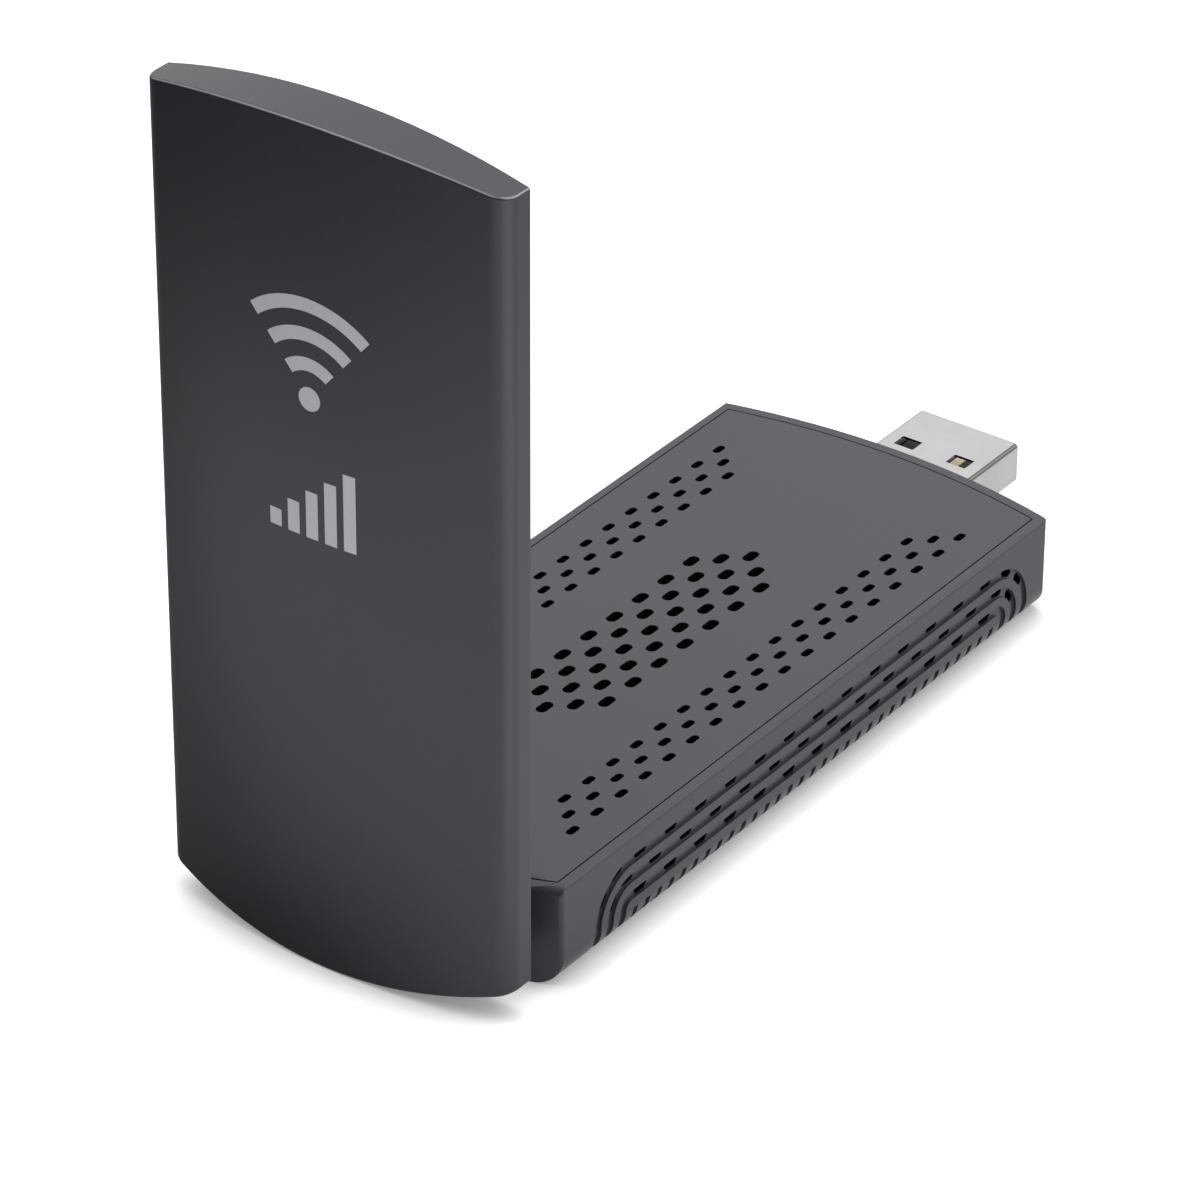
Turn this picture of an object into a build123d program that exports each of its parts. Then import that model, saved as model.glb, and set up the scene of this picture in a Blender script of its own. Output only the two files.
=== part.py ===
# USB wifi adapter: a flat vented body with a USB-A plug at one end and, at the
# other, a wide antenna leaf on a friction hinge. The leaf stands upright here.
#
# Frame: millimetres, +Z up, +X towards the plug, origin at the middle of the
# body's flat base. The hinge axis is parallel to Y.
import os
from math import cos, pi, radians, sin, sqrt

from build123d import *

# ---- driving dimensions -------------------------------------------------------
# body outline, seen from above
body_width = 38.8
plug_corner_x = 40.9        # where the long sides end, at the plug end
plug_apex_x = 43.35         # middle of the curved plug end
hinge_corner_x = -39.8      # where the long sides end, at the hinge end
hinge_apex_x = -43.3        # middle of the curved hinge end
plug_corner_round = 0.2
hinge_corner_round = 0.5
# body section
body_height = 10.6
belly_round = 2.8           # long lower edges
brow_round = 4.5            # upper part of the hinge end, clear of the closing leaf
end_rim_round = 1.0         # its edge, all along the curved end
top_edge_round = 0.35
wall = 1.6
floor_thickness = 1.4
rim_width = 1.05
cover_thickness = 1.5
seam_gap = 0.15
# holes in the cover: (distance from the middle line, number of holes)
cover_side_rows = ((14.40, 18), (12.55, 17), (10.70, 16))
cover_side_pitch = 3.78
cover_side_centre = 0.72
cover_side_hole = (1.6, 0.84)
cover_mid_rows = ((0.0, 9), (2.07, 8), (4.14, 7))
cover_mid_pitch = 4.24
cover_mid_centre = 0.77
cover_mid_hole = (2.05, 1.18)
# channels and slots in the long sides: three arches, one inside the other
arch_centre_x = 1.52
arch_half_length = 35.8
arch_top_z = 8.0
arch_spacing = 1.93
arch_corner_round = 5.3
channel_width = 1.0
channel_depth = 0.3
channel_reach = 3.0         # how far the channels run in under the body
slot_pitch = 4.82
slot_rows = (13, 12, 13)    # slots along each arch's straight part
slot_sizes = ((2.0, 0.88), (2.0, 0.88), (2.15, 1.04))
corner_slot_angles = ((23.7, 54.3), (8.0, 55.8))    # degrees from the arch's top
rib_count = 32
rib_pitch = 1.93
rib_width = 0.75
rib_top_z = 2.6
# USB-A plug
plug_width = 12.0
plug_height = 4.5
plug_base_z = 2.53
plug_tip_x = 56.85
plug_back_x = 34.5
plug_sheet = 0.3
plug_clearance = 0.15
tongue_thickness = 1.85
window_size = (1.85, 2.35)
window_x = 50.4
window_spacing = 6.3
# hinge
hinge_x = -38.3
hinge_z = 4.5
fold_clearance = 0.2        # between the cover and the folded leaf
barrel_radius = 3.6
barrel_width = 15.8
barrel_clearance = 0.3
neck_thickness = 6.0
pin_radius = 1.5
pin_bore_radius = 0.65
pin_clearance = 0.05
pin_inner_y = 4.4
pin_outer_y = 10.0
ear_wall = 1.4
washer_thickness = 0.3
washer_gap = 0.05
# leaf
leaf_width = 38.9
leaf_height = 86.15
leaf_foot_corner_z = 3.5    # lower corners, above the middle of the curved foot
leaf_head_drop = 2.45       # upper corners, below the middle of the curved head
leaf_thickness = 5.65
leaf_crown_radius = 80.0
leaf_edge_round = 2.0       # along the long outer edges
leaf_head_round = 0.25      # around the curved head
leaf_foot_round = 0.35
leaf_wall = 1.3
leaf_rim = 1.2
leaf_cover_thickness = 1.2
leaf_seam_gap = 0.1
# boards, cables and fasteners
board_thickness = 1.0
board_z = 3.2
board_edge_gap = 0.6
standoff_radius = 2.4
post_radius = 1.9
screw_radius = 0.7
screw_head_radius = 1.5
screw_head_height = 1.0
screw_recess = 1.7
screw_fit = 0.03
screw_length = 6.4
hinge_end_screw = (-36.6, 15.7)
plug_end_screw = (36.3, 13.4)
coax_radius = 0.4
coax_bend = 2.5
coax_route_y = 12.6
coax_leaf_y = 1.0
antenna_size = (13.5, 34.0)
antenna_thickness = 0.8
antenna_foot_z = 31.0

# ---- sizes that follow --------------------------------------------------------
half_width = body_width / 2
cover_base_z = body_height - cover_thickness
board_top_z = board_z + board_thickness
notch_half_width = barrel_width / 2 + washer_thickness + 2 * washer_gap
notch_back_x = hinge_x + barrel_radius + barrel_clearance
notch_floor_z = hinge_z - barrel_radius - barrel_clearance
plug_centre_z = plug_base_z + plug_height / 2
leaf_offset = body_height + fold_clearance - hinge_z    # hinge axis to leaf's inner face
leaf_inner_x = hinge_x - leaf_offset
leaf_outer_x = leaf_inner_x - leaf_thickness
leaf_cover_back_x = leaf_inner_x - leaf_cover_thickness
antenna_back_x = leaf_cover_back_x - antenna_thickness
screw_places = [(x, way * y) for x, y in (hinge_end_screw, plug_end_screw) for way in (-1, 1)]
overcut = 5.0               # how far a cutting tool runs past what it cuts


def end_arc(half, corner_x, apex_x):
    """An arc between the two corners of an end, through its middle."""
    return ThreePointArc((corner_x, -half), (apex_x, 0), (corner_x, half))


def body_plan(inset=0.0):
    """The body's outline from above, moved in by inset."""
    with BuildSketch(mode=Mode.PRIVATE) as plan:
        with BuildLine():
            end_arc(half_width, plug_corner_x, plug_apex_x)
            Line((plug_corner_x, half_width), (hinge_corner_x, half_width))
            end_arc(half_width, hinge_corner_x, hinge_apex_x)
            Line((hinge_corner_x, -half_width), (plug_corner_x, -half_width))
        make_face()
        if inset:
            offset(amount=-inset)
        else:
            fillet(plan.vertices().filter_by(lambda v: v.X > 0), plug_corner_round)
            fillet(plan.vertices().filter_by(lambda v: v.X < hinge_x), hinge_corner_round)
    return plan.sketch


def body_section(inset=0.0):
    """The body's section across its length, moved in by inset."""
    with BuildSketch(mode=Mode.PRIVATE) as section:
        with Locations((0, body_height / 2)):
            Rectangle(body_width, body_height)
        fillet(section.vertices().filter_by(lambda v: v.Y < 1), belly_round)
        fillet(section.vertices().filter_by(lambda v: v.Y > body_height - 1), top_edge_round)
        if inset:
            offset(amount=-inset)
    return section.sketch


def long_hole(length, height):
    """A rounded six-sided hole, longer than it is high."""
    shoulder = length / 2 - height * 0.42
    with BuildSketch(mode=Mode.PRIVATE) as hole:
        with BuildLine():
            Polyline(
                (length / 2, 0), (shoulder, height / 2), (-shoulder, height / 2),
                (-length / 2, 0), (-shoulder, -height / 2), (shoulder, -height / 2),
                close=True,
            )
        make_face()
        fillet(hole.vertices(), height * 0.18)
    return hole.sketch


def arch(level, grow):
    """A filled arch open at the bottom; level counts inwards, grow moves its edge."""
    half_length = arch_half_length - level * arch_spacing + grow
    top = arch_top_z - level * arch_spacing + grow
    corner = arch_corner_round - level * arch_spacing + grow
    with BuildSketch(mode=Mode.PRIVATE) as shape:
        with Locations((arch_centre_x, (top - overcut) / 2)):
            Rectangle(2 * half_length, top + overcut)
        fillet(shape.vertices().group_by(Axis.Y)[-1], corner)
    return shape.sketch


def row_of(count, pitch, centre):
    """The places of count things in a row."""
    return [centre + (i - (count - 1) / 2) * pitch for i in range(count)]


def slot_places():
    """(row, location) of every slot on one long side, in the plane of that side."""
    places = []
    for row, count in enumerate(slot_rows):
        z = arch_top_z - row * arch_spacing
        for x in row_of(count, slot_pitch, arch_centre_x):
            places.append((row, Location((x, z))))
    for row, angles in enumerate(corner_slot_angles):
        radius = arch_corner_round - row * arch_spacing
        turn_x = arch_half_length - arch_corner_round
        turn_z = arch_top_z - arch_corner_round
        for angle in angles:
            for way in (-1, 1):
                x = arch_centre_x + way * (turn_x + radius * sin(radians(angle)))
                z = turn_z + radius * cos(radians(angle))
                places.append((row, Location((x, z), -way * angle)))
    return places


# ---- the body's outer form, and the tool that cuts its side channels ------------
hinge_end_rise = hinge_corner_x - hinge_apex_x
hinge_end_radius = (half_width**2 + hinge_end_rise**2) / (2 * hinge_end_rise)

with BuildPart() as end_drum:
    with Locations((hinge_apex_x + hinge_end_radius, 0, 0)):
        Cylinder(
            hinge_end_radius, body_height, align=(Align.CENTER, Align.CENTER, Align.MIN)
        )
    fillet(end_drum.edges().filter_by(GeomType.CIRCLE).sort_by(Axis.Z)[-1], end_rim_round)

with BuildPart() as outer_form:
    with BuildSketch():
        add(body_plan())
    extrude(amount=body_height)
    with BuildSketch(Plane.YZ):
        add(body_section())
    extrude(amount=2 * plug_apex_x, both=True, mode=Mode.INTERSECT)
    with BuildSketch(Plane.XZ) as side_view:
        with Locations(((hinge_apex_x + plug_apex_x) / 2, body_height / 2)):
            Rectangle(plug_apex_x - hinge_apex_x, body_height)
        fillet(side_view.vertices().group_by(Axis.X)[0].sort_by(Axis.Y)[-1], brow_round)
    extrude(amount=body_width, both=True, mode=Mode.INTERSECT)
    add(end_drum.part, mode=Mode.INTERSECT)

with BuildPart() as channel_tool:
    with BuildSketch(Plane.XZ):
        for level in range(len(slot_rows)):
            add(arch(level, channel_width / 2))
            add(arch(level, -channel_width / 2), mode=Mode.SUBTRACT)
        for x in row_of(rib_count, rib_pitch, arch_centre_x):
            with Locations((x, (rib_top_z - overcut) / 2)):
                Rectangle(rib_width, rib_top_z + overcut)
    extrude(amount=body_width, both=True)
    with BuildSketch(Plane.YZ):
        add(body_section(channel_depth))
    extrude(amount=2 * plug_apex_x, both=True, mode=Mode.SUBTRACT)
    Box(
        4 * plug_apex_x, body_width - 2 * channel_reach, 4 * body_height,
        mode=Mode.SUBTRACT,
    )

# ---- lower housing: a tub with vented sides, a notch and two ears for the hinge --
hinge_line = Plane(origin=(hinge_x, 0, hinge_z), x_dir=(1, 0, 0), z_dir=(0, -1, 0))
ear_outer_y = notch_half_width + ear_wall

with BuildPart() as lower_housing:
    add(outer_form.part)
    with BuildSketch(Plane.XY.offset(floor_thickness)):
        add(body_plan(wall))
    extrude(amount=body_height, mode=Mode.SUBTRACT)
    with BuildSketch(Plane.XY.offset(cover_base_z)):
        add(body_plan(rim_width))
    extrude(amount=body_height, mode=Mode.SUBTRACT)
    add(channel_tool.part, mode=Mode.SUBTRACT)
    with BuildSketch(Plane.XZ):
        for row, place in slot_places():
            with Locations(place):
                add(long_hole(*slot_sizes[row]))
    extrude(amount=body_width, both=True, mode=Mode.SUBTRACT)
    # walls around the hinge notch, inside the outline
    with BuildSketch(Plane.XY.offset(floor_thickness)):
        with Locations((notch_back_x + ear_wall, 0)):
            Rectangle(body_width, 2 * ear_outer_y, align=(Align.MAX, Align.CENTER))
        add(body_plan(wall / 2), mode=Mode.INTERSECT)
    extrude(amount=cover_base_z - floor_thickness)
    # bosses that hold the hinge pins
    with BuildSketch(hinge_line):
        Circle(pin_radius + 1.4)
    extrude(amount=pin_outer_y, both=True)
    add(outer_form.part, mode=Mode.INTERSECT)
    # the notch itself, open above and at the end
    with BuildSketch(Plane.XY.offset(notch_floor_z)):
        with Locations((notch_back_x, 0)):
            Rectangle(body_width, 2 * notch_half_width, align=(Align.MAX, Align.CENTER))
    extrude(amount=body_height, mode=Mode.SUBTRACT)
    with BuildSketch(hinge_line):
        Circle(pin_radius)
    extrude(amount=pin_outer_y + 1, both=True, mode=Mode.SUBTRACT)
    # standoffs under the board, with recesses for the screw heads
    with BuildSketch(Plane.XY.offset(floor_thickness)):
        with Locations(screw_places):
            Circle(standoff_radius)
        add(body_plan(wall / 2), mode=Mode.INTERSECT)
    extrude(amount=board_z - floor_thickness)
    with BuildSketch():
        with Locations(screw_places):
            Circle(screw_head_radius + 0.1)
    extrude(amount=screw_recess, mode=Mode.SUBTRACT)
    with BuildSketch():
        with Locations(screw_places):
            Circle(screw_radius + 0.1)
    extrude(amount=board_z, mode=Mode.SUBTRACT)
    # mouth for the plug
    with BuildSketch(Plane.YZ.offset(plug_back_x)):
        with Locations((0, plug_centre_z)):
            RectangleRounded(
                plug_width + 2 * plug_clearance, plug_height + 2 * plug_clearance, 0.6
            )
    extrude(amount=plug_apex_x - plug_back_x + overcut, mode=Mode.SUBTRACT)
lower_housing.part.label = "lower_housing"

# ---- vent cover: the flat top, set into the housing's rim ------------------------
with BuildPart() as vent_cover:
    with BuildSketch(Plane.XY.offset(cover_base_z)):
        add(body_plan(rim_width + seam_gap))
        with Locations((notch_back_x, 0)):
            Rectangle(
                body_width, 2 * notch_half_width,
                align=(Align.MAX, Align.CENTER), mode=Mode.SUBTRACT,
            )
    extrude(amount=cover_thickness)
    add(outer_form.part, mode=Mode.INTERSECT)
    with BuildSketch(Plane.XY.offset(cover_base_z)):
        for y, count in cover_side_rows:
            for x in row_of(count, cover_side_pitch, cover_side_centre):
                with Locations((x, y), (x, -y)):
                    SlotOverall(*cover_side_hole)
        for y, count in cover_mid_rows:
            for x in row_of(count, cover_mid_pitch, cover_mid_centre):
                with Locations(*{(x, y), (x, -y)}):
                    SlotOverall(*cover_mid_hole)
    extrude(amount=cover_thickness, mode=Mode.SUBTRACT)
    # posts that take the screws and press the board down
    with BuildSketch(Plane.XY.offset(board_top_z)):
        with Locations(screw_places):
            Circle(post_radius)
            Circle(screw_radius + screw_fit, mode=Mode.SUBTRACT)
    extrude(amount=cover_base_z - board_top_z)
vent_cover.part.label = "vent_cover"

# ---- main board --------------------------------------------------------------
with BuildPart() as main_board:
    with BuildSketch(Plane.XY.offset(board_z)):
        add(body_plan(wall + board_edge_gap))
        # room for the hinge and the cables beside it
        horn_inner_y = coax_route_y + coax_radius + 0.45
        with Locations((notch_back_x + ear_wall + board_edge_gap, 0)):
            Rectangle(
                body_width, 2 * horn_inner_y,
                align=(Align.MAX, Align.CENTER), mode=Mode.SUBTRACT,
            )
        # room for the plug, which sits part way through the board
        with Locations((plug_back_x - plug_clearance, 0)):
            Rectangle(
                body_width, plug_width + 2 * plug_clearance,
                align=(Align.MIN, Align.CENTER), mode=Mode.SUBTRACT,
            )
        with Locations(screw_places):
            Circle(screw_radius + 0.1, mode=Mode.SUBTRACT)
    extrude(amount=board_thickness)
main_board.part.label = "main_board"

# ---- USB-A plug -----------------------------------------------------------------
with BuildPart() as usb_plug_shell:
    with BuildSketch(Plane.YZ.offset(plug_back_x)):
        with Locations((0, plug_centre_z)):
            RectangleRounded(plug_width, plug_height, 0.55)
            RectangleRounded(
                plug_width - 2 * plug_sheet, plug_height - 2 * plug_sheet,
                0.55 - plug_sheet, mode=Mode.SUBTRACT,
            )
    extrude(amount=plug_tip_x - plug_back_x)
    with BuildSketch(Plane.XY.offset(plug_base_z - overcut)):
        with Locations((window_x, window_spacing / 2), (window_x, -window_spacing / 2)):
            RectangleRounded(*window_size, 0.15)
    extrude(amount=plug_height + 2 * overcut, mode=Mode.SUBTRACT)
    # wings soldered to the board on both sides
    wing_reach = 1.1
    with BuildSketch(Plane.XY.offset(board_top_z)):
        for x in (plug_back_x + 1.4, plug_back_x + 4.2):
            for side in (-1, 1):
                with Locations((x, side * (plug_width + wing_reach - plug_sheet) / 2)):
                    Rectangle(1.3, wing_reach + plug_sheet)
    extrude(amount=plug_sheet)
usb_plug_shell.part.label = "usb_plug_shell"

tongue_half_width = plug_width / 2 - plug_sheet - 0.1
tongue_base_z = plug_base_z + plug_sheet
tongue_top_z = tongue_base_z + tongue_thickness
tongue_root_x = plug_back_x + 6.0
tongue_tip_x = plug_tip_x - 0.5

with BuildPart() as usb_tongue:
    with BuildSketch(Plane.XZ):
        with BuildLine():
            Polyline(
                (plug_back_x + 0.2, tongue_base_z),
                (tongue_tip_x, tongue_base_z),
                (tongue_tip_x, tongue_top_z),
                (tongue_root_x, tongue_top_z),
                (tongue_root_x, plug_base_z + plug_height - plug_sheet),
                (plug_back_x + 0.2, plug_base_z + plug_height - plug_sheet),
                close=True,
            )
        make_face()
    extrude(amount=tongue_half_width, both=True)
    chamfer(usb_tongue.edges().filter_by(Axis.Y).group_by(Axis.X)[-1], 0.3)
    # the tongue keeps clear of the shell's rounded inner corners
    chamfer(usb_tongue.edges().filter_by(Axis.X).group_by(Axis.Z)[0], 0.35)
    chamfer(usb_tongue.edges().filter_by(Axis.X).group_by(Axis.Z)[-1], 0.35)
usb_tongue.part.label = "usb_tongue"

with BuildPart() as usb_contacts:
    with BuildSketch(Plane.XY.offset(tongue_top_z)):
        for y in (-3.5, -1.0, 1.0, 3.5):
            with Locations((tongue_tip_x - 5.2, y)):
                RectangleRounded(8.0, 1.0, 0.2)
    extrude(amount=0.15)
    with BuildSketch(Plane.XY.offset(tongue_top_z)):
        for y in (-4.0, -2.0, 0.0, 2.0, 4.0):
            with Locations((tongue_root_x + 2.6, y)):
                RectangleRounded(3.4, 0.6, 0.2)
    extrude(amount=0.35)
usb_contacts.part.label = "usb_contacts"

# ---- radio: chip, shield cans, pads and heatsink ---------------------------------
chip_x = 0.5
can_size = (26.0, 22.0)
can_height = 1.6
can_sheet = 0.2
chip_height = 0.9
pad_thickness = 0.4
fin_height = 1.6

with BuildPart() as wifi_shield_can:
    with BuildSketch(Plane.XY.offset(board_top_z)):
        with Locations((chip_x, 0)):
            RectangleRounded(*can_size, 0.6)
    extrude(amount=can_height)
    with BuildSketch(Plane.XY.offset(board_top_z)):
        with Locations((chip_x, 0)):
            RectangleRounded(can_size[0] - 2 * can_sheet, can_size[1] - 2 * can_sheet, 0.4)
    extrude(amount=can_height - can_sheet, mode=Mode.SUBTRACT)
wifi_shield_can.part.label = "wifi_shield_can"

with BuildPart() as wifi_chip:
    with BuildSketch(Plane.XY.offset(board_top_z)):
        with Locations((chip_x, 0)):
            Rectangle(10.0, 10.0)
    extrude(amount=chip_height)
    chamfer(wifi_chip.edges().filter_by(Axis.Z).sort_by(Axis.X)[0], 0.5)
wifi_chip.part.label = "wifi_chip"

with BuildPart() as chip_pad:
    with BuildSketch(Plane.XY.offset(board_top_z + chip_height)):
        with Locations((chip_x, 0)):
            Rectangle(9.0, 9.0)
    extrude(amount=can_height - can_sheet - chip_height)
chip_pad.part.label = "chip_pad"

can_top_z = board_top_z + can_height
with BuildPart() as heatsink_pad:
    with BuildSketch(Plane.XY.offset(can_top_z)):
        with Locations((chip_x, 0)):
            RectangleRounded(can_size[0] - 3.0, can_size[1] - 3.0, 0.5)
    extrude(amount=pad_thickness)
heatsink_pad.part.label = "heatsink_pad"

sink_z = can_top_z + pad_thickness
sink_base = cover_base_z - 0.3 - fin_height - sink_z
with BuildPart() as heatsink:
    with BuildSketch(Plane.XY.offset(sink_z)):
        with Locations((chip_x, 0)):
            Rectangle(can_size[0] + 2.0, can_size[1])
    extrude(amount=sink_base)
    with BuildSketch(Plane.XY.offset(sink_z + sink_base)):
        for y in row_of(9, 2.6, 0.0):
            with Locations((chip_x, y)):
                Rectangle(can_size[0] + 2.0, 1.0)
    extrude(amount=fin_height)
heatsink.part.label = "heatsink"

front_end_x = -22.0
with BuildPart() as front_end_can:
    with BuildSketch(Plane.XY.offset(board_top_z)):
        with Locations((front_end_x, 0)):
            RectangleRounded(10.0, 20.0, 0.6)
    extrude(amount=can_height)
    with BuildSketch(Plane.XY.offset(board_top_z)):
        with Locations((front_end_x, 0)):
            RectangleRounded(10.0 - 2 * can_sheet, 20.0 - 2 * can_sheet, 0.4)
    extrude(amount=can_height - can_sheet, mode=Mode.SUBTRACT)
front_end_can.part.label = "front_end_can"

# ---- small parts on the board: crystal, coil, capacitors, as one group ------------
small_parts = (
    # x, y, length, width, height
    (20.0, 6.0, 3.2, 2.5, 0.8),
    (20.0, -6.0, 4.0, 4.0, 1.8),
    (26.0, -4.5, 3.0, 3.0, 1.0),
    (26.0, 4.5, 2.9, 1.6, 1.0),
    (30.5, 0.0, 1.6, 0.8, 0.7),
    (30.5, 2.2, 1.6, 0.8, 0.7),
    (30.5, -2.2, 1.6, 0.8, 0.7),
    (20.0, 11.0, 1.0, 0.5, 0.5),
    (22.0, 11.0, 1.0, 0.5, 0.5),
    (24.0, 11.0, 1.0, 0.5, 0.5),
    (20.0, -11.0, 1.0, 0.5, 0.5),
    (22.0, -11.0, 1.0, 0.5, 0.5),
    (24.0, -11.0, 1.0, 0.5, 0.5),
)
with BuildPart() as board_components:
    for x, y, length, width, height in small_parts:
        with BuildSketch(Plane.XY.offset(board_top_z)):
            with Locations((x, y)):
                Rectangle(length, width)
        extrude(amount=height)
board_components.part.label = "board_components"

with BuildPart() as status_led:
    with BuildSketch(Plane.XY.offset(board_top_z)):
        with Locations((30.0, 10.7)):
            Rectangle(1.6, 0.8)
    extrude(amount=0.4)
    with BuildSketch(Plane.XY.offset(board_top_z + 0.4)):
        with Locations((30.0, 10.7)):
            Rectangle(1.1, 0.8)
    extrude(amount=0.3, taper=10)
status_led.part.label = "status_led"

# ---- screws: from below, through housing and board, into the cover's posts --------
screw_head_z = screw_recess - screw_head_height
with BuildPart() as cover_screws:
    with BuildSketch(Plane.XY.offset(screw_head_z)):
        with Locations(screw_places):
            Circle(screw_head_radius)
    extrude(amount=screw_head_height)
    with BuildSketch(Plane.XY.offset(screw_recess)):
        with Locations(screw_places):
            Circle(screw_radius)
    extrude(amount=screw_length)
    with BuildSketch(Plane.XY.offset(screw_head_z)):
        with Locations(screw_places):
            Rectangle(1.7, 0.4)
            Rectangle(0.4, 1.7)
    extrude(amount=screw_head_height / 2, mode=Mode.SUBTRACT)
cover_screws.part.label = "cover_screws"

# ---- coaxial sockets and plugs on the board ---------------------------------------
coax_socket_x = -27.0
coax_run_z = board_top_z + 1.0
with BuildPart() as coax_sockets:
    for side in (-1, 1):
        with BuildSketch(Plane.XY.offset(board_top_z)):
            with Locations((coax_socket_x, side * coax_route_y)):
                Rectangle(2.6, 2.6)
        extrude(amount=0.35)
        with BuildSketch(Plane.XY.offset(board_top_z + 0.35)):
            with Locations((coax_socket_x, side * coax_route_y)):
                Circle(0.75)
        extrude(amount=0.35)
coax_sockets.part.label = "coax_sockets"

with BuildPart() as coax_plugs:
    for side in (-1, 1):
        with BuildSketch(Plane.XY.offset(board_top_z + 0.4)):
            with Locations((coax_socket_x, side * coax_route_y)):
                Circle(1.15)
            with Locations((coax_socket_x - 1.2, side * coax_route_y)):
                Rectangle(1.4, 1.4)
            with Locations((coax_socket_x, side * coax_route_y)):
                Circle(0.78, mode=Mode.SUBTRACT)
        extrude(amount=0.32)
        with BuildSketch(Plane.XY.offset(board_top_z + 0.72)):
            with Locations((coax_socket_x, side * coax_route_y)):
                Circle(1.15)
            with Locations((coax_socket_x - 1.2, side * coax_route_y)):
                Rectangle(1.4, 1.4)
        extrude(amount=0.9)
coax_plugs.part.label = "coax_plugs"

# ---- leaf: crowned outer shell ------------------------------------------------------
leaf_half = leaf_width / 2
foot_corner_z = leaf_foot_corner_z
head_corner_z = leaf_height - leaf_head_drop
leaf_plane = Plane(origin=(leaf_inner_x, 0, 0), x_dir=(0, 1, 0), z_dir=(1, 0, 0))


def leaf_outline(inset=0.0):
    """The leaf's outline, seen along the body, moved in by inset."""
    with BuildSketch(mode=Mode.PRIVATE) as outline:
        with BuildLine():
            ThreePointArc((-leaf_half, foot_corner_z), (0, 0), (leaf_half, foot_corner_z))
            Line((leaf_half, foot_corner_z), (leaf_half, head_corner_z))
            ThreePointArc(
                (leaf_half, head_corner_z), (0, leaf_height), (-leaf_half, head_corner_z)
            )
            Line((-leaf_half, head_corner_z), (-leaf_half, foot_corner_z))
        make_face()
        if inset:
            offset(amount=-inset)
    return outline.sketch


def leaf_section(thickness, half):
    """The leaf's section from above: a flat inner side and a crowned outer side."""
    crown_drop = leaf_crown_radius - sqrt(leaf_crown_radius**2 - half**2)
    edge_x = leaf_inner_x - thickness + crown_drop
    with BuildSketch(mode=Mode.PRIVATE) as section:
        with BuildLine():
            Line((leaf_inner_x, -half), (leaf_inner_x, half))
            Line((leaf_inner_x, half), (edge_x, half))
            ThreePointArc((edge_x, half), (leaf_inner_x - thickness, 0), (edge_x, -half))
            Line((edge_x, -half), (leaf_inner_x, -half))
        make_face()
        fillet(section.vertices().filter_by(lambda v: v.X < leaf_inner_x - 1), leaf_edge_round)
    return section.sketch


with BuildPart() as leaf_outer_shell:
    with BuildSketch(leaf_plane):
        add(leaf_outline())
    extrude(amount=-leaf_thickness)
    with BuildSketch():
        add(leaf_section(leaf_thickness, leaf_half))
    extrude(amount=leaf_height, mode=Mode.INTERSECT)
    head = leaf_outer_shell.faces().sort_by(Axis.Z)[-1]
    fillet(head.edges().filter_by(lambda e: e.center().X < leaf_inner_x - 0.1), leaf_head_round)
    foot = leaf_outer_shell.faces().sort_by(Axis.Z)[0]
    fillet(foot.edges().filter_by(lambda e: e.center().X < leaf_inner_x - 0.1), leaf_foot_round)

with BuildPart() as leaf_hollow:
    with BuildSketch(leaf_plane):
        add(leaf_outline(leaf_wall))
    extrude(amount=-leaf_thickness)
    with BuildSketch():
        add(leaf_section(leaf_thickness - leaf_wall, leaf_half - leaf_wall))
    extrude(amount=leaf_height, mode=Mode.INTERSECT)

with BuildPart(mode=Mode.PRIVATE) as leaf_seat:
    with BuildSketch(leaf_plane):
        add(leaf_outline(leaf_rim - 0.4))
    extrude(amount=-leaf_cover_thickness)

leaf_shell_form = leaf_outer_shell.part
with BuildPart() as leaf_outer_shell:
    add(leaf_shell_form)
    add(leaf_hollow.part, mode=Mode.SUBTRACT)
    add(leaf_seat.part, mode=Mode.SUBTRACT)
leaf_outer_shell.part.label = "leaf_outer_shell"

# ---- leaf: flat inner cover with the hinge knuckle ----------------------------------
with BuildPart() as leaf_inner_cover:
    with BuildSketch(leaf_plane):
        add(leaf_outline(leaf_rim - 0.4 + leaf_seam_gap))
    extrude(amount=-leaf_cover_thickness)
    with BuildSketch(hinge_line):
        Circle(barrel_radius)
        with Locations((-leaf_offset, 0)):
            Rectangle(leaf_offset, neck_thickness, align=(Align.MIN, Align.CENTER))
    extrude(amount=barrel_width / 2, both=True)
    with BuildSketch(hinge_line):
        Circle(pin_radius + pin_clearance)
    extrude(amount=barrel_width, both=True, mode=Mode.SUBTRACT)
    # way for the cables from the hinge into the leaf
    way_half_width = coax_leaf_y + coax_bend + coax_radius
    cable_way = Plane(
        origin=(hinge_x, 0, hinge_z), x_dir=(0, -1, 0), z_dir=(-1, 0, 0)
    )
    with BuildSketch(cable_way):
        with Locations((0, coax_radius)):
            RectangleRounded(2 * way_half_width, 2.6, 0.5)
    extrude(amount=leaf_offset + leaf_cover_thickness, mode=Mode.SUBTRACT)
leaf_inner_cover.part.label = "leaf_inner_cover"

with BuildPart() as friction_washers:
    for side in (-1, 1):
        washer_y = side * (barrel_width / 2 + washer_gap)
        with BuildSketch(Plane.XZ.offset(-washer_y)):
            with Locations((hinge_x, hinge_z)):
                Circle(barrel_radius - 0.4)
                Circle(pin_radius, mode=Mode.SUBTRACT)
        extrude(amount=-side * washer_thickness)
friction_washers.part.label = "friction_washers"

with BuildPart() as hinge_pins:
    for side in (-1, 1):
        with BuildSketch(Plane.XZ.offset(-side * pin_inner_y)):
            with Locations((hinge_x, hinge_z)):
                Circle(pin_radius)
                Circle(pin_bore_radius, mode=Mode.SUBTRACT)
        extrude(amount=-side * (pin_outer_y - pin_inner_y))
hinge_pins.part.label = "hinge_pins"

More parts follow.
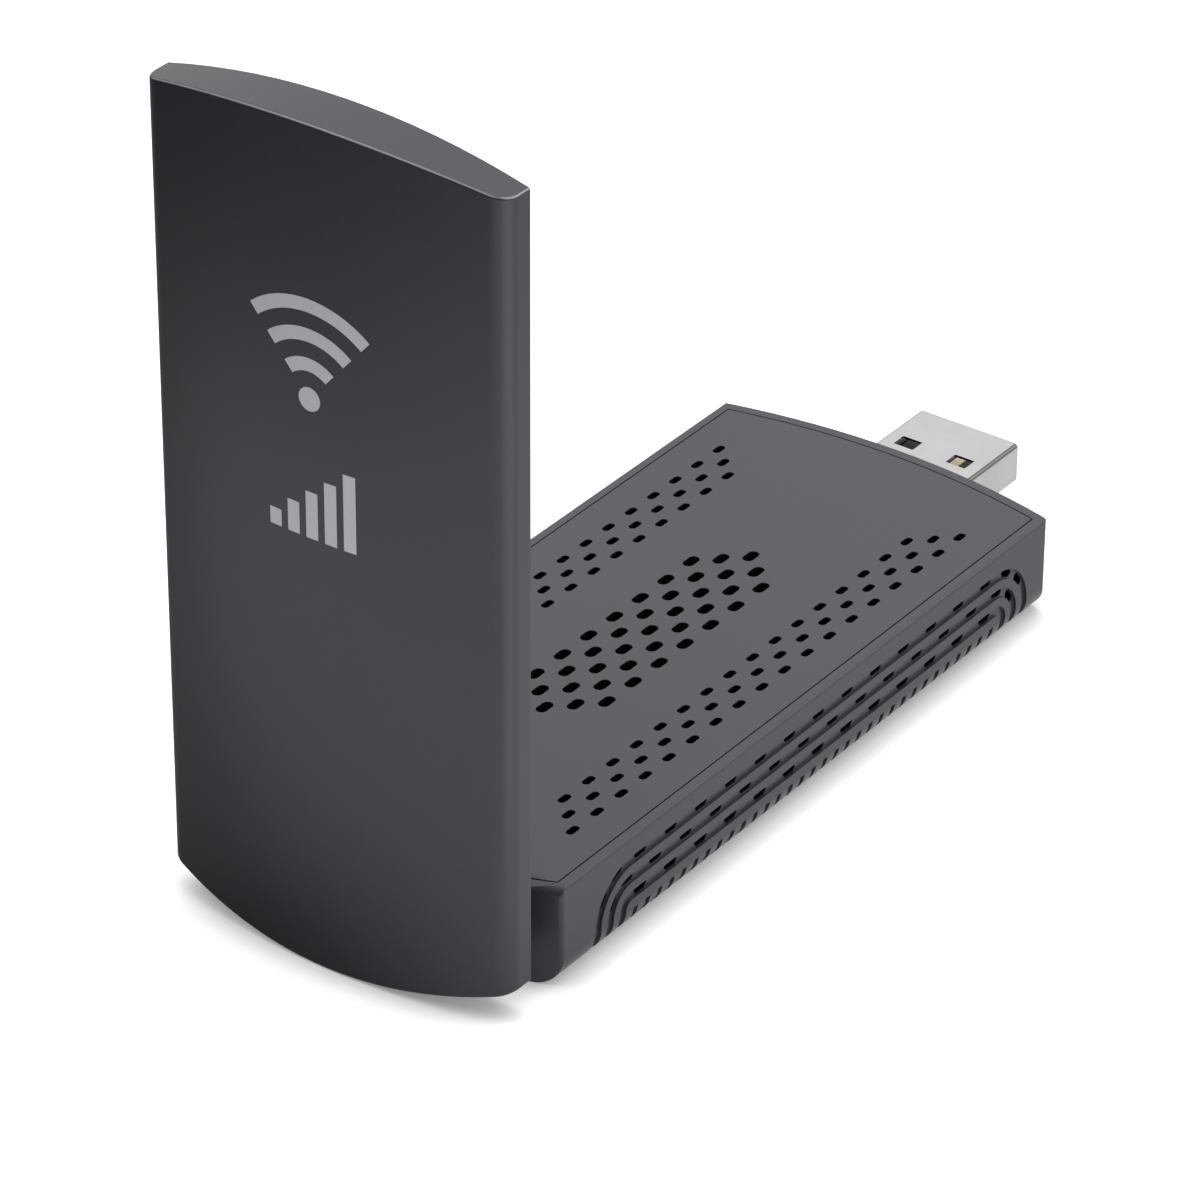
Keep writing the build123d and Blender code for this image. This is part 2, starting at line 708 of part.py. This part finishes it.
for piece in (
    lower_housing, vent_cover, main_board, usb_plug_shell, usb_tongue, usb_contacts,
    wifi_shield_can, wifi_chip, chip_pad, heatsink_pad, heatsink, front_end_can,
    board_components, status_led, cover_screws, coax_sockets, coax_plugs,
    leaf_outer_shell, leaf_inner_cover, friction_washers, hinge_pins,
):
    os.makedirs("parts", exist_ok=True)
    export_step(piece.part, f"parts/{piece.part.label}.step")

# ---- pieces in pairs, left (+Y) and right (-Y) ---------------------------------------
for side_name, side in (("left", 1), ("right", -1)):
    with BuildPart() as antenna_board:
        with BuildSketch(Plane.YZ.offset(antenna_back_x)):
            with Locations((side * (antenna_size[0] / 2 + 3.0), antenna_foot_z)):
                RectangleRounded(*antenna_size, 0.8, align=(Align.CENTER, Align.MIN))
        extrude(amount=antenna_thickness)
    antenna_board.part.label = f"antenna_board_{side_name}"
    export_step(antenna_board.part, f"parts/antenna_board_{side_name}.step")

    body_route = (
        (coax_socket_x - 1.9, side * coax_route_y, coax_run_z),
        (coax_socket_x - 6.0, side * coax_route_y, coax_run_z),
        (hinge_x + 3.4, side * coax_route_y, hinge_z),
        (hinge_x, side * coax_route_y, hinge_z),
        (hinge_x, side * (pin_inner_y - 0.15), hinge_z),
    )
    body_bends = (3.5, 3.5, coax_bend)
    with BuildPart() as body_coax:
        with BuildLine() as route:
            FilletPolyline(*body_route, radius=list(body_bends))
        with BuildSketch(Plane(origin=route.wires()[0] @ 0, z_dir=route.wires()[0] % 0)):
            Circle(coax_radius)
        sweep()
    body_coax.part.label = f"body_coax_{side_name}"
    export_step(body_coax.part, f"parts/body_coax_{side_name}.step")
    body_coax_fill = body_coax.part.volume / (pi * coax_radius**2 * route.wires()[0].length)
    print(body_coax.part.label, "volume over section times length", round(body_coax_fill, 4))

    cable_x = antenna_back_x - coax_radius
    board_feed_y = side * (3.0 + antenna_size[0] / 2)
    leaf_route = (
        (hinge_x, side * (pin_inner_y - 0.17), hinge_z),
        (hinge_x, side * coax_leaf_y, hinge_z),
        (cable_x, side * coax_leaf_y, hinge_z),
        (cable_x, side * coax_leaf_y, hinge_z + 9.0),
        (cable_x, board_feed_y, antenna_foot_z - 6.0),
        (cable_x, board_feed_y, antenna_foot_z + 2.5),
    )
    leaf_bends = (coax_bend, coax_bend, 4.0, 4.0)
    with BuildPart() as leaf_coax:
        with BuildLine() as route:
            FilletPolyline(*leaf_route, radius=list(leaf_bends))
        with BuildSketch(Plane(origin=route.wires()[0] @ 0, z_dir=route.wires()[0] % 0)):
            Circle(coax_radius)
        sweep()
    leaf_coax.part.label = f"leaf_coax_{side_name}"
    export_step(leaf_coax.part, f"parts/leaf_coax_{side_name}.step")
    leaf_coax_fill = leaf_coax.part.volume / (pi * coax_radius**2 * route.wires()[0].length)
    print(leaf_coax.part.label, "volume over section times length", round(leaf_coax_fill, 4))
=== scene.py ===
# Looks of the USB wifi adapter: materials, the printed mark on the leaf, lights,
# floor and camera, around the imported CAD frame.
import math

import bmesh
import bpy
from mathutils import Matrix, Vector


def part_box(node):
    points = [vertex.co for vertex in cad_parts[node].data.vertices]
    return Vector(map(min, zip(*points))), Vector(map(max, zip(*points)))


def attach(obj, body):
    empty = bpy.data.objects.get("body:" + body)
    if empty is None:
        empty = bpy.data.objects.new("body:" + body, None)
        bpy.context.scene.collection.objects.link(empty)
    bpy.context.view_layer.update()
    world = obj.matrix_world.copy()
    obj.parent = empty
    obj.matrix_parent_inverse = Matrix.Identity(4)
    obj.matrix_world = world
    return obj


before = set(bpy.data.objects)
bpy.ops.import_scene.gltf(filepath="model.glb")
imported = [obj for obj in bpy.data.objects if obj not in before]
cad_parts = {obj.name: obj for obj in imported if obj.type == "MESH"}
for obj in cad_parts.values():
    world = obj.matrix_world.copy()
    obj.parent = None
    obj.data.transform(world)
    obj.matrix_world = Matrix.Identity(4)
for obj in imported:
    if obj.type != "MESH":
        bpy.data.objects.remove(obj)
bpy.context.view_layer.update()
scene = bpy.context.scene
MM = 0.001


# ---------------------------------------------------------------- node helpers
class Tree:
    """A small wrapper that adds and links shader nodes in one call."""

    def __init__(self, tree):
        self.tree = tree
        self.tree.nodes.clear()

    def add(self, kind, inputs=None, **settings):
        node = self.tree.nodes.new(kind)
        for key, value in settings.items():
            setattr(node, key, value)
        for key, value in (inputs or {}).items():
            if isinstance(value, bpy.types.NodeSocket):
                self.tree.links.new(value, node.inputs[key])
            else:
                node.inputs[key].default_value = value
        return node

    def math(self, operation, a, b=0.0):
        return self.add("ShaderNodeMath", {0: a, 1: b}, operation=operation).outputs[0]

    def ramp(self, value, low, high, to_low=0.0, to_high=1.0):
        """value mapped from low..high to to_low..to_high, with soft ends."""
        node = self.add(
            "ShaderNodeMapRange",
            {"Value": value, "From Min": low, "From Max": high,
             "To Min": to_low, "To Max": to_high},
            interpolation_type="SMOOTHSTEP",
        )
        return node.outputs["Result"]

    def mix(self, factor, a, b, blend="MIX"):
        node = self.add("ShaderNodeMix", data_type="RGBA", blend_type=blend)
        for index, value in ((0, factor), (6, a), (7, b)):
            if isinstance(value, bpy.types.NodeSocket):
                self.tree.links.new(value, node.inputs[index])
            else:
                node.inputs[index].default_value = value
        return node.outputs[2]

    def dot(self, a, b):
        return self.add(
            "ShaderNodeVectorMath", {0: a, 1: b}, operation="DOT_PRODUCT"
        ).outputs["Value"]

    def split(self, vector):
        """The x, y and z of a vector."""
        return self.add("ShaderNodeSeparateXYZ", {0: vector}).outputs

    def camera_ray(self):
        return self.add("ShaderNodeLightPath").outputs["Is Camera Ray"]

    def place(self):
        """Object coordinates, which are row-frame metres on every CAD node."""
        return self.add("ShaderNodeTexCoord").outputs["Object"]

    def noise(self, scale, detail=2.0, rough=0.5, stretch=(1, 1, 1)):
        place = self.place()
        if stretch != (1, 1, 1):
            place = self.add(
                "ShaderNodeMapping", {"Vector": place, "Scale": stretch}
            ).outputs[0]
        node = self.add(
            "ShaderNodeTexNoise",
            {"Vector": place, "Scale": scale, "Detail": detail, "Roughness": rough},
        )
        return node.outputs["Fac"]


def grey(level):
    return (level, level, level, 1.0)


def scaled(colour, factor, lift=0.0):
    """A colour made lighter or darker, never past white."""
    return tuple(min(1.0, c * factor + lift) for c in colour[:3]) + (1.0,)


def new_material(name):
    material = bpy.data.materials.new(name)
    material.use_nodes = True
    return material, Tree(material.node_tree)


def finish_material(tree, shader):
    output = tree.add("ShaderNodeOutputMaterial")
    tree.tree.links.new(shader.outputs[0], output.inputs["Surface"])


# ---------------------------------------------------------------- materials
def moulded_plastic(name, colour, roughness=0.42, grain=5200.0, bump=0.1, edge=0.25,
                    edge_radius=0.16, dark_under=None, specular=0.5, variation=0.1,
                    crest_highlight=0.0):
    """Spark-eroded moulded plastic: a fine grain in colour, gloss and relief, slow
    variation across the surface, and edges made paler, partly by wear and partly by a
    painted highlight. The crest setting is how much painted highlight the rounded upper rim
    gets."""
    material, t = new_material(name)
    fine = t.noise(grain, 3.0, 0.62)
    coarse = t.noise(grain * 0.23, 2.0, 0.5)
    slow = t.noise(45.0, 2.0, 0.5)
    shade = t.ramp(fine, 0.3, 0.7, 1 - variation, 1 + variation)
    shade = t.math("MULTIPLY", shade, t.ramp(slow, 0.3, 0.7, 0.97, 1.03))
    base = t.mix(1.0, colour, t.add("ShaderNodeCombineColor",
                 {0: shade, 1: shade, 2: shade}).outputs[0], "MULTIPLY")
    geometry = t.add("ShaderNodeNewGeometry")
    rounded = t.add("ShaderNodeBevel", {"Radius": edge_radius * MM}, samples=6)
    facing = t.dot(rounded.outputs[0], geometry.outputs["Normal"])
    # edges made paler: partly wear, partly a painted highlight
    edge_wear_and_highlight = t.math("MULTIPLY", t.ramp(facing, 0.98, 0.8), edge)
    edge_wear_and_highlight = t.math("MULTIPLY", edge_wear_and_highlight, t.ramp(coarse, 0.35, 0.6, 0.4, 1.0))
    base = t.mix(edge_wear_and_highlight, base, scaled(colour, 2.6))
    # painted highlight: the rounded upper rim is made paler where its normal turns from up to
    # sideways
    if crest_highlight:
        normal = t.split(geometry.outputs["Normal"])
        sideways = t.math("MAXIMUM", t.math("ABSOLUTE", normal[0]),
                          t.math("ABSOLUTE", normal[1]))
        turn = t.math("MULTIPLY", sideways, t.math("MAXIMUM", normal[2], 0.0))
        base = t.mix(t.math("MULTIPLY", t.ramp(turn, 0.3, 0.46), crest_highlight), base,
                     (0.30, 0.30, 0.31, 1.0))
    if dark_under is not None:
        base = dark_under(t, base)
    relief = t.math("ADD", t.math("MULTIPLY", fine, 0.7), t.math("MULTIPLY", coarse, 0.5))
    bumped = t.add(
        "ShaderNodeBump",
        {"Strength": bump, "Distance": 0.03 * MM, "Height": relief,
         "Normal": rounded.outputs[0]},
    )
    shader = t.add(
        "ShaderNodeBsdfPrincipled",
        {"Base Color": base,
         "Roughness": t.ramp(fine, 0.25, 0.75, roughness - 0.05, roughness + 0.07),
         "Specular IOR Level": specular, "Specular Tint": (0.90, 0.935, 1.0, 1.0),
         "IOR": 1.5, "Normal": bumped.outputs[0]},
    )
    finish_material(t, shader)
    return material


def sheet_metal(name, colour, roughness=0.25, brushed=(1, 1, 1), bump=0.05, stain=0.06,
                scale=2600.0, edge_radius=0.08, corner_painted_shade=0.0, spread=0.07):
    """Plated or bare metal with fine rolling marks, faint blotches and, on a folded
    sleeve, painted shade on the rounded corners along X."""
    material, t = new_material(name)
    lines = t.noise(scale, 3.0, 0.6, stretch=brushed)
    blotch = t.noise(260.0, 3.0, 0.55)
    base = t.mix(
        t.ramp(blotch, 0.3, 0.75, 0.0, 1.0), colour,
        scaled(colour, 1 - stain * 2),
    )
    rounded = t.add("ShaderNodeBevel", {"Radius": edge_radius * MM}, samples=6)
    # painted shade: the rounded corners along X are darkened
    if corner_painted_shade:
        normal = t.split(t.add("ShaderNodeNewGeometry").outputs["Normal"])
        turn = t.math("ABSOLUTE", t.math("MULTIPLY", normal[1], normal[2]))
        corner_shade = t.math("MULTIPLY", t.ramp(turn, 0.2, 0.42), corner_painted_shade)
        base = t.mix(corner_shade, base, scaled(colour, 0.12))
    bumped = t.add(
        "ShaderNodeBump",
        {"Strength": bump, "Distance": 0.02 * MM, "Height": lines,
         "Normal": rounded.outputs[0]},
    )
    shader = t.add(
        "ShaderNodeBsdfPrincipled",
        {"Base Color": base, "Metallic": 1.0,
         "Roughness": t.ramp(lines, 0.25, 0.75, roughness - spread, roughness + spread),
         "Normal": bumped.outputs[0]},
    )
    finish_material(t, shader)
    return material


def laminate(name, colour, weave=0.00035):
    """Glass-fibre board under solder mask: a faint cross weave and pale traces."""
    material, t = new_material(name)
    place = t.split(t.place())
    turns = 2 * math.pi / weave
    warp = t.math("SINE", t.math("MULTIPLY", place[0], turns))
    weft = t.math("SINE", t.math("MULTIPLY", place[1], turns))
    cross = t.math("MULTIPLY", warp, weft)
    trace = t.add(
        "ShaderNodeTexVoronoi", {"Vector": t.place(), "Scale": 420.0},
        feature="DISTANCE_TO_EDGE",
    ).outputs["Distance"]
    base = t.mix(
        t.ramp(trace, 0.02, 0.06, 0.55, 0.0), colour,
        scaled(colour, 2.2),
    )
    base = t.mix(t.ramp(cross, -1.0, 1.0, 0.0, 0.25), base, (0.0, 0.0, 0.0, 1.0))
    bumped = t.add("ShaderNodeBump", {"Strength": 0.15, "Distance": 0.02 * MM,
                                      "Height": cross})
    shader = t.add(
        "ShaderNodeBsdfPrincipled",
        {"Base Color": base, "Roughness": 0.34, "Coat Weight": 0.3,
         "Normal": bumped.outputs[0]},
    )
    finish_material(t, shader)
    return material


def resin(name, colour, roughness=0.5, speckle=0.25, scale=3500.0):
    """Moulded resin or fired ceramic with a speckled surface."""
    material, t = new_material(name)
    grain = t.noise(scale, 4.0, 0.65)
    base = t.mix(
        t.ramp(grain, 0.35, 0.7, 0.0, speckle), colour,
        scaled(colour, 2.5, 0.02),
    )
    bumped = t.add("ShaderNodeBump", {"Strength": 0.12, "Distance": 0.02 * MM,
                                      "Height": grain})
    shader = t.add(
        "ShaderNodeBsdfPrincipled",
        {"Base Color": base, "Normal": bumped.outputs[0],
         "Roughness": t.ramp(grain, 0.3, 0.7, roughness - 0.08, roughness + 0.08)},
    )
    finish_material(t, shader)
    return material


def printed_ink(name, colour):
    """Pad-printed ink: slightly uneven cover with tiny pinholes."""
    material, t = new_material(name)
    cover = t.noise(3800.0, 3.0, 0.6)
    base = t.mix(
        t.ramp(cover, 0.25, 0.42, 0.35, 0.0), colour,
        scaled(colour, 0.6),
    )
    bumped = t.add("ShaderNodeBump", {"Strength": 0.1, "Distance": 0.01 * MM,
                                      "Height": cover})
    shader = t.add(
        "ShaderNodeBsdfPrincipled",
        {"Base Color": base, "Roughness": t.ramp(cover, 0.3, 0.7, 0.4, 0.55),
         "Normal": bumped.outputs[0]},
    )
    finish_material(t, shader)
    return material


def below_top(depth_mm, shade):
    """Darkens a cover's hole walls and underside, which no light reaches well."""
    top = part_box("vent_cover")[1][2]

    def darken(t, base):
        height = t.split(t.place())[2]
        under = t.ramp(height, top - depth_mm * MM, top - 0.01 * MM, 1.0, 0.0)
        return t.mix(under, base, grey(shade))

    return darken


def painted_inside_shade(shade):
    """Paints shade on everything further in than the channels in the housing's sides,
    within the stretch of the sides that the channels take up."""
    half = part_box("lower_housing")[1][1]
    channel_floor = half - 0.34 * MM
    dark_from = half - 0.52 * MM
    window_low, window_high, window_reach = 2.6 * MM, 9.1 * MM, 39.6 * MM

    def darken(t, base):
        place = t.split(t.place())
        side = t.math("ABSOLUTE", place[1])
        deep = t.ramp(side, dark_from, channel_floor, 1.0, 0.0)
        window = t.math(
            "MULTIPLY",
            t.ramp(place[2], window_low, window_low + 0.6 * MM),
            t.ramp(place[2], window_high, window_high - 0.3 * MM),
        )
        along = t.math("ABSOLUTE", place[0])
        reach = t.ramp(along, window_reach, window_reach - 0.4 * MM)
        # painted shade on the slot walls and the parts behind the slots
        mask = t.math("MULTIPLY", t.math("MULTIPLY", deep, window), reach)
        return t.mix(mask, base, grey(shade))

    return darken


looks = {
    "lower_housing": moulded_plastic(
        "housing_plastic", (0.035, 0.036, 0.043, 1), 0.38, dark_under=painted_inside_shade(0.003),
        edge_radius=0.05, edge=0.45
    ),
    "vent_cover": moulded_plastic(
        "cover_plastic", (0.037, 0.038, 0.045, 1), 0.42, dark_under=below_top(0.1, 0.002),
        edge_radius=0.08
    ),
    "leaf_outer_shell": moulded_plastic("leaf_plastic", (0.028, 0.029, 0.035, 1), 0.34,
                                        edge_radius=0.1, edge=0.5, crest_highlight=0.8),
    "leaf_inner_cover": moulded_plastic("leaf_inner_plastic", (0.038, 0.039, 0.043, 1), 0.42),
    "main_board": laminate("board_laminate", (0.012, 0.06, 0.03, 1)),
    "antenna_board_left": laminate("antenna_laminate", (0.012, 0.014, 0.014, 1)),
    "usb_plug_shell": sheet_metal("plug_steel", (0.53, 0.53, 0.525, 1), 0.25,
                                  brushed=(0.15, 1, 1), bump=0.01, stain=0.03, spread=0.02,
                                  corner_painted_shade=0.9),
    "usb_tongue": resin("plug_plastic", (0.02, 0.02, 0.022, 1), 0.45, 0.1),
    "usb_contacts": sheet_metal("contact_gold", (0.86, 0.74, 0.52, 1), 0.3),
    "wifi_shield_can": sheet_metal("can_steel", (0.6, 0.6, 0.58, 1), 0.32),
    "wifi_chip": resin("chip_resin", (0.015, 0.015, 0.016, 1), 0.5),
    "heatsink_pad": resin("pad_silicone", (0.12, 0.16, 0.26, 1), 0.6),
    "heatsink": sheet_metal("sink_aluminium", (0.035, 0.035, 0.038, 1), 0.45,
                            brushed=(0.1, 1, 1)),
    "board_components": resin("component_ceramic", (0.12, 0.085, 0.055, 1), 0.45),
    "status_led": resin("led_resin", (0.75, 0.74, 0.6, 1), 0.25, 0.1),
    "cover_screws": sheet_metal("screw_steel", (0.06, 0.06, 0.065, 1), 0.38),
    "hinge_pins": sheet_metal("hinge_steel", (0.5, 0.5, 0.5, 1), 0.3, brushed=(1, 0.1, 1)),
    "friction_washers": sheet_metal("washer_steel", (0.45, 0.43, 0.38, 1), 0.35),
    "coax_sockets": sheet_metal("socket_gold", (0.82, 0.6, 0.28, 1), 0.28),
    "body_coax_left": resin("coax_jacket", (0.012, 0.012, 0.013, 1), 0.45, 0.15),
}
same_look = {
    "antenna_board_right": "antenna_board_left",
    "front_end_can": "wifi_shield_can",
    "chip_pad": "heatsink_pad",
    "coax_plugs": "coax_sockets",
    "body_coax_right": "body_coax_left",
    "leaf_coax_left": "body_coax_left",
    "leaf_coax_right": "body_coax_left",
}
for node_name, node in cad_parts.items():
    look = looks.get(node_name) or looks[same_look[node_name]]
    node.data.materials.clear()
    node.data.materials.append(look)


# ---------------------------------------------------------------- printed mark
leaf_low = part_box("leaf_outer_shell")[0]
CROWN_RADIUS = 80.0 * MM        # of the leaf's outer face, as in the CAD
WAVE_RADII = (3.4, 6.3, 9.2)
WAVE_HALF_WIDTH = 0.66
WAVE_SPREAD = math.radians(41)
DOT_RADIUS = 1.17
MARK_Z = 59.5 * MM              # the dot, at the middle of the leaf's width
BAR_COUNT = 5
BAR_WIDTH, BAR_PITCH = 1.3 * MM, 2.05 * MM
BAR_FOOT_Z = 45.5 * MM


def on_crown(y, z, proud=0.02 * MM):
    """A point just proud of the leaf's crowned outer face."""
    drop = CROWN_RADIUS - math.sqrt(CROWN_RADIUS**2 - y * y)
    return Vector((leaf_low[0] + drop - proud, y, z))


def add_patch(mesh, outline_at, steps_along, steps_across):
    """A grid of faces; outline_at(u, v) gives y and z for u and v from 0 to 1."""
    rows = []
    for i in range(steps_along + 1):
        row = []
        for j in range(steps_across + 1):
            y, z = outline_at(i / steps_along, j / steps_across)
            row.append(mesh.verts.new(on_crown(y, z)))
        rows.append(row)
    for i in range(steps_along):
        for j in range(steps_across):
            mesh.faces.new((rows[i][j], rows[i + 1][j], rows[i + 1][j + 1], rows[i][j + 1]))


def make_mark():
    """Three spreading waves over a dot, and a stepped row of bars under them."""
    mesh = bmesh.new()
    for radius in WAVE_RADII:

        def wave(u, v, radius=radius):
            angle = -WAVE_SPREAD + 2 * WAVE_SPREAD * u
            r = (radius - WAVE_HALF_WIDTH + 2 * WAVE_HALF_WIDTH * v) * MM
            return r * math.sin(angle), MARK_Z + r * math.cos(angle)

        add_patch(mesh, wave, 28, 2)

    def dot(u, v):
        angle = 2 * math.pi * u
        r = (0.02 + (DOT_RADIUS - 0.02) * v) * MM
        return r * math.sin(angle), MARK_Z + r * math.cos(angle)

    add_patch(mesh, dot, 36, 3)
    for step in range(BAR_COUNT):
        left = 3.45 * MM - step * BAR_PITCH
        tall = (1.7 + step * 1.5) * MM

        def bar(u, v, left=left, tall=tall):
            return left + BAR_WIDTH * u, BAR_FOOT_Z + tall * v

        add_patch(mesh, bar, 3, 4)
    bmesh.ops.recalc_face_normals(mesh, faces=mesh.faces)
    data = bpy.data.meshes.new("leaf_mark")
    mesh.to_mesh(data)
    mesh.free()
    mark = bpy.data.objects.new("leaf_mark", data)
    scene.collection.objects.link(mark)
    thicken = mark.modifiers.new("ink_film", "SOLIDIFY")
    thicken.thickness = 0.015 * MM
    thicken.offset = 0.0
    data.materials.append(printed_ink("leaf_print", (0.55, 0.57, 0.6, 1)))
    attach(mark, "leaf")
    return mark


make_mark()

# ---------------------------------------------------------------- floor
floor_mesh = bpy.data.meshes.new("floor")
floor_mesh.from_pydata(
    [(-6, -6, 0), (6, -6, 0), (6, 6, 0), (-6, 6, 0)], [], [(0, 1, 2, 3)]
)
floor = bpy.data.objects.new("floor", floor_mesh)
floor.location.z = -0.02 * MM
scene.collection.objects.link(floor)
paper, t = new_material("floor_paper")
x, y = t.split(t.place())[:2]
grain = t.ramp(t.noise(900.0, 3.0, 0.6), 0.3, 0.7)
# as the camera sees it: white with a glow of its own, and a narrow soft shadow close
# around the object, partly real and partly painted into the colour and the glow from ambient
# occlusion
close = t.add(
    "ShaderNodeAmbientOcclusion", {"Distance": 4.0 * MM}, samples=12
).outputs["AO"]
open_sky = t.ramp(close, 0.45, 0.93, 0.62, 1.0)
paper_colour = t.mix(open_sky, grey(0.12), t.mix(grain, grey(0.9), grey(0.88)))
direct = t.add("ShaderNodeBsdfDiffuse", {"Color": paper_colour, "Roughness": 0.5})
glow = t.add(
    "ShaderNodeEmission", {"Color": grey(1.0), "Strength": t.math("MULTIPLY", open_sky, 0.38)}
)
shown = t.add("ShaderNodeAddShader", {0: direct.outputs[0], 1: glow.outputs[0]})
# as the object mirrors it: painted dark far to the left, a painted shadow at the
# leaf's foot, and a painted glow to the right; they set the reflections in the object
leftness = t.math("ADD", t.math("MULTIPLY", x, -0.81), t.math("MULTIPLY", y, 0.58))
painted_far_dark = t.ramp(leftness, 0.125, 0.182, 0.0, 1.0)
ahead = t.math("SUBTRACT", leaf_low[0], x)
sideways = t.math("MULTIPLY", t.math("SUBTRACT", 19 * MM, y), 0.35)
painted_foot_shadow = t.ramp(t.math("ADD", ahead, sideways), 0.003, 0.03, 0.75, 0.0)
lit = t.math("MULTIPLY", t.math("SUBTRACT", 1.0, painted_far_dark),
             t.math("SUBTRACT", 1.0, painted_foot_shadow))
bounced = t.add("ShaderNodeBsdfDiffuse", {
    "Color": t.mix(lit, grey(0.0), grey(0.9)), "Roughness": 0.5})
# painted glow: the floor seen in reflections glows brighter to the right
rightness = t.math("ADD", t.math("MULTIPLY", x, 0.81), t.math("MULTIPLY", y, -0.58))
painted_glow = t.math("MULTIPLY", t.ramp(rightness, -0.05, 0.0, 0.0, 0.75),
               t.ramp(rightness, 0.03, 0.13, 1.0, 0.6))
painted_glow_emission = t.add("ShaderNodeEmission", {"Color": grey(1.0), "Strength": painted_glow})
returned = t.add("ShaderNodeAddShader", {0: bounced.outputs[0], 1: painted_glow_emission.outputs[0]})
finish_material(t, t.add("ShaderNodeMixShader", {
    0: t.camera_ray(), 1: returned.outputs[0], 2: shown.outputs[0]}))
floor_mesh.materials.append(paper)

# ---------------------------------------------------------------- light
world = bpy.data.worlds.new("studio")
scene.world = world
world.use_nodes = True
t = Tree(world.node_tree)
direction = t.add("ShaderNodeTexCoord").outputs["Generated"]
toward = t.dot(direction, Vector((0.82, -0.08, 0.57)).normalized())
around = t.ramp(toward, -0.3, 0.82, 0.05, 1.15)
# two narrow strips that light the rounded edges of the leaf's head
for strip, strength in (((-0.52, 0.50, 0.69), 2.2), ((0.69, -0.52, 0.50), 1.6)):
    near = t.dot(direction, Vector(strip).normalized())
    around = t.math("ADD", around, t.ramp(near, 0.93, 0.99, 0.0, strength))
level = t.add("ShaderNodeMix", {0: t.camera_ray(), 2: around, 3: 1.0}, data_type="FLOAT")
back = t.add("ShaderNodeBackground", {"Color": grey(1.0), "Strength": level.outputs[0]})
t.add("ShaderNodeOutputWorld", {"Surface": back.outputs[0]})


def softbox(name, place, aim, size, watts):
    light = bpy.data.lights.new(name, "AREA")
    light.shape = "RECTANGLE"
    light.size, light.size_y = size
    light.energy = watts
    lamp = bpy.data.objects.new(name, light)
    lamp.location = place
    lamp.rotation_mode = "QUATERNION"
    lamp.rotation_quaternion = (Vector(aim) - Vector(place)).to_track_quat("-Z", "Y")
    scene.collection.objects.link(lamp)


softbox("top_box", (-0.03, -0.06, 0.8), (0.0, 0.0, 0.0), (1.2, 1.2), 5.0)

# ---------------------------------------------------------------- camera
azimuth, elevation, roll = math.radians(-54.216), math.radians(31.617), 0.006
away = Vector((
    math.sin(azimuth) * math.cos(elevation),
    -math.cos(azimuth) * math.cos(elevation),
    math.sin(elevation),
))
right = Vector((0, 0, 1)).cross(away).normalized()
up = away.cross(right)
turned_right = right * math.cos(roll) + up * math.sin(roll)
turned_up = up * math.cos(roll) - right * math.sin(roll)
camera_data = bpy.data.cameras.new("camera")
camera_data.sensor_fit = "HORIZONTAL"
camera_data.sensor_width = 36.0
camera_data.lens = 187.14
camera_data.clip_start = 0.02
camera_data.clip_end = 50.0
camera = bpy.data.objects.new("camera", camera_data)
scene.collection.objects.link(camera)
target = Vector((2.4, 7.051, 10.6)) * MM
basis = Matrix((turned_right, turned_up, away)).transposed().to_4x4()
camera.matrix_world = Matrix.Translation(target + away * 601.392 * MM) @ basis
scene.camera = camera
scene.view_settings.view_transform = "Standard"
